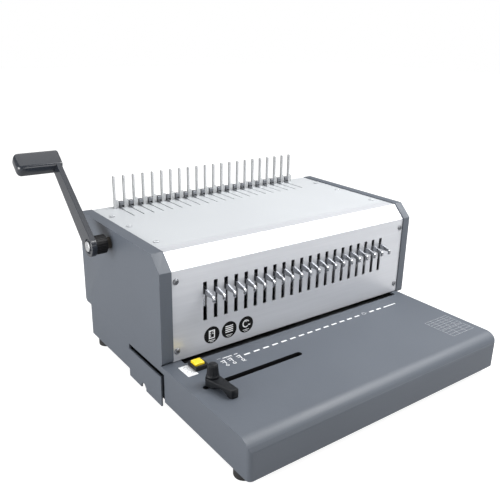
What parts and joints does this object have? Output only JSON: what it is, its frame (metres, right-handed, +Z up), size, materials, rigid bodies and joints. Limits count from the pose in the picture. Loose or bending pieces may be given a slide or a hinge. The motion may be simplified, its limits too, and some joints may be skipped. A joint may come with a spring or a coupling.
{
  "type": "comb binding machine",
  "caption": "Desktop comb binding machine: flat paper deck with edge guide and waste drawer, upright punch head with pull tabs, and a lever-worked comb opener on top.",
  "frame": {"origin": "middle of the outer box's underside, on the table", "axes": "+X to the operator's right, +Y to the back, +Z up"},
  "size_m": [0.473, 0.4086, 0.2621],
  "materials": {
    "body_paint": "textured blue-grey paint",
    "dark_steel": "dark painted steel",
    "foot_rubber": "black rubber",
    "bright_screw": "bright zinc",
    "brushed_plate": "brushed silver sheet",
    "pale_cover": "pale silver paint",
    "frame_steel": "bare steel",
    "tool_steel": "ground tool steel",
    "motor_paint": "black enamel",
    "board_green": "solder-masked board",
    "black_plastic": "black moulding",
    "bright_steel": "bright steel",
    "bush_brass": "sintered bronze",
    "drawer_plastic": "blue-grey moulding",
    "guide_paint": "blue-grey paint",
    "knob_plastic": "dark ribbed moulding",
    "yellow_plastic": "yellow moulding",
    "gear_steel": "cut steel",
    "red_plastic": "red rocker",
    "lever_paint": "blue-grey paint",
    "grip_plastic": "blue-grey glossy moulding",
    "pull_steel": "bright spring steel"
  },
  "bodies": {
    "housing": {"base_cover": "body_paint", "base_pan": "dark_steel", "rubber_feet": "foot_rubber", "machine_screws": "bright_screw", "left_side_panel": "body_paint", "right_side_panel": "body_paint", "front_plate": "brushed_plate", "top_cover": "pale_cover", "rear_panel": "body_paint", "left_frame": "frame_steel", "right_frame": "frame_steel", "die_block": "tool_steel", "punch_guide": "tool_steel", "motor": "motor_paint", "control_board": "board_green", "power_inlet": "black_plastic", "comb_fingers": "bright_steel", "shaft_bushes": "bush_brass", "button_housing": "black_plastic"},
    "ram": {"punch_ram": "bright_steel", "punch_pins": "bright_steel"},
    "drive_shaft": {"eccentric_shaft": "frame_steel", "drive_gear": "gear_steel"},
    "pinion": {"motor_pinion": "gear_steel"},
    "lever": {"lever_arm": "lever_paint", "lever_grip": "grip_plastic", "lever_collar": "black_plastic", "lever_bolt": "bright_screw", "opener_shaft": "frame_steel", "opener_pinions": "gear_steel"},
    "hooks": {"hook_slide": "frame_steel", "comb_hooks": "frame_steel", "hook_heads": "black_plastic"},
    "drawer": {"waste_drawer": "drawer_plastic"},
    "guide": {"edge_guide": "guide_paint", "guide_stud": "frame_steel"},
    "knob": {"guide_knob": "knob_plastic"},
    "button": {"punch_button": "yellow_plastic"},
    "rocker": {"power_switch": "red_plastic"},
    "pull_01_tab": {"pull_01": "pull_steel"},
    "pull_02_tab": {"pull_02": "pull_steel"},
    "pull_03_tab": {"pull_03": "pull_steel"},
    "pull_04_tab": {"pull_04": "pull_steel"},
    "pull_05_tab": {"pull_05": "pull_steel"},
    "pull_06_tab": {"pull_06": "pull_steel"},
    "pull_07_tab": {"pull_07": "pull_steel"},
    "pull_08_tab": {"pull_08": "pull_steel"},
    "pull_09_tab": {"pull_09": "pull_steel"},
    "pull_10_tab": {"pull_10": "pull_steel"},
    "pull_11_tab": {"pull_11": "pull_steel"},
    "pull_12_tab": {"pull_12": "pull_steel"},
    "pull_13_tab": {"pull_13": "pull_steel"},
    "pull_14_tab": {"pull_14": "pull_steel"},
    "pull_15_tab": {"pull_15": "pull_steel"},
    "pull_16_tab": {"pull_16": "pull_steel"},
    "pull_17_tab": {"pull_17": "pull_steel"},
    "pull_18_tab": {"pull_18": "pull_steel"},
    "pull_19_tab": {"pull_19": "pull_steel"},
    "pull_20_tab": {"pull_20": "pull_steel"},
    "pull_21_tab": {"pull_21": "pull_steel"}
  },
  "joints": [
    {"name": "punch_stroke", "type": "slide", "parent": "housing", "child": "ram", "axis": [0, 0, -1], "range_m": [0, 0.016]},
    {"name": "drive_turn", "type": "hinge", "parent": "housing", "child": "drive_shaft", "pos_m": [0.0385, 0.01171, 0.124], "axis": [1, 0, 0], "range_deg": [0, 181]},
    {"name": "pinion_turn", "type": "hinge", "parent": "housing", "child": "pinion", "pos_m": [0.0385, 0.04921, 0.124], "axis": [1, 0, 0], "range_deg": [-384, 0]},
    {"name": "lever_turn", "type": "hinge", "parent": "housing", "child": "lever", "pos_m": [0.0385, 0.08871, 0.165], "axis": [1, 0, 0], "range_deg": [0, 104]},
    {"name": "hook_travel", "type": "slide", "parent": "housing", "child": "hooks", "axis": [0, -1, 0], "range_m": [0, 0.02]},
    {"name": "drawer_slide", "type": "slide", "parent": "housing", "child": "drawer", "axis": [-1, 0, 0], "range_m": [0, 0.15]},
    {"name": "guide_slide", "type": "slide", "parent": "housing", "child": "guide", "axis": [1, 0, 0], "range_m": [0, 0.12]},
    {"name": "knob_turn", "type": "hinge", "parent": "guide", "child": "knob", "pos_m": [-0.1355, -0.10029, 0.07], "axis": [0, 0, 1], "range_deg": [0, 180]},
    {"name": "button_press", "type": "slide", "parent": "housing", "child": "button", "axis": [0, 0, -1], "range_m": [0, 0.002], "stiffness_N_per_m": 400, "springref_m": -0.001},
    {"name": "switch_rock", "type": "hinge", "parent": "housing", "child": "rocker", "pos_m": [0.1635, 0.17821, 0.109], "axis": [-1, 0, 0], "range_deg": [0, 16]},
    {"name": "pull_01_slide", "type": "slide", "parent": "ram", "child": "pull_01_tab", "axis": [0, -1, 0], "range_m": [0, 0.006]},
    {"name": "pull_02_slide", "type": "slide", "parent": "ram", "child": "pull_02_tab", "axis": [0, -1, 0], "range_m": [0, 0.006]},
    {"name": "pull_03_slide", "type": "slide", "parent": "ram", "child": "pull_03_tab", "axis": [0, -1, 0], "range_m": [0, 0.006]},
    {"name": "pull_04_slide", "type": "slide", "parent": "ram", "child": "pull_04_tab", "axis": [0, -1, 0], "range_m": [0, 0.006]},
    {"name": "pull_05_slide", "type": "slide", "parent": "ram", "child": "pull_05_tab", "axis": [0, -1, 0], "range_m": [0, 0.006]},
    {"name": "pull_06_slide", "type": "slide", "parent": "ram", "child": "pull_06_tab", "axis": [0, -1, 0], "range_m": [0, 0.006]},
    {"name": "pull_07_slide", "type": "slide", "parent": "ram", "child": "pull_07_tab", "axis": [0, -1, 0], "range_m": [0, 0.006]},
    {"name": "pull_08_slide", "type": "slide", "parent": "ram", "child": "pull_08_tab", "axis": [0, -1, 0], "range_m": [0, 0.006]},
    {"name": "pull_09_slide", "type": "slide", "parent": "ram", "child": "pull_09_tab", "axis": [0, -1, 0], "range_m": [0, 0.006]},
    {"name": "pull_10_slide", "type": "slide", "parent": "ram", "child": "pull_10_tab", "axis": [0, -1, 0], "range_m": [0, 0.006]},
    {"name": "pull_11_slide", "type": "slide", "parent": "ram", "child": "pull_11_tab", "axis": [0, -1, 0], "range_m": [0, 0.006]},
    {"name": "pull_12_slide", "type": "slide", "parent": "ram", "child": "pull_12_tab", "axis": [0, -1, 0], "range_m": [0, 0.006]},
    {"name": "pull_13_slide", "type": "slide", "parent": "ram", "child": "pull_13_tab", "axis": [0, -1, 0], "range_m": [0, 0.006]},
    {"name": "pull_14_slide", "type": "slide", "parent": "ram", "child": "pull_14_tab", "axis": [0, -1, 0], "range_m": [0, 0.006]},
    {"name": "pull_15_slide", "type": "slide", "parent": "ram", "child": "pull_15_tab", "axis": [0, -1, 0], "range_m": [0, 0.006]},
    {"name": "pull_16_slide", "type": "slide", "parent": "ram", "child": "pull_16_tab", "axis": [0, -1, 0], "range_m": [0, 0.006]},
    {"name": "pull_17_slide", "type": "slide", "parent": "ram", "child": "pull_17_tab", "axis": [0, -1, 0], "range_m": [0, 0.006]},
    {"name": "pull_18_slide", "type": "slide", "parent": "ram", "child": "pull_18_tab", "axis": [0, -1, 0], "range_m": [0, 0.006]},
    {"name": "pull_19_slide", "type": "slide", "parent": "ram", "child": "pull_19_tab", "axis": [0, -1, 0], "range_m": [0, 0.006]},
    {"name": "pull_20_slide", "type": "slide", "parent": "ram", "child": "pull_20_tab", "axis": [0, -1, 0], "range_m": [0, 0.006]},
    {"name": "pull_21_slide", "type": "slide", "parent": "ram", "child": "pull_21_tab", "axis": [0, -1, 0], "range_m": [0, 0.006]}
  ],
  "couplings": [
    {"joint": "drive_turn", "follows": "punch_stroke", "rad_per_m": 196.35},
    {"joint": "pinion_turn", "follows": "punch_stroke", "rad_per_m": -417.24},
    {"joint": "hook_travel", "follows": "lever_turn", "m_per_rad": 0.011}
  ]
}
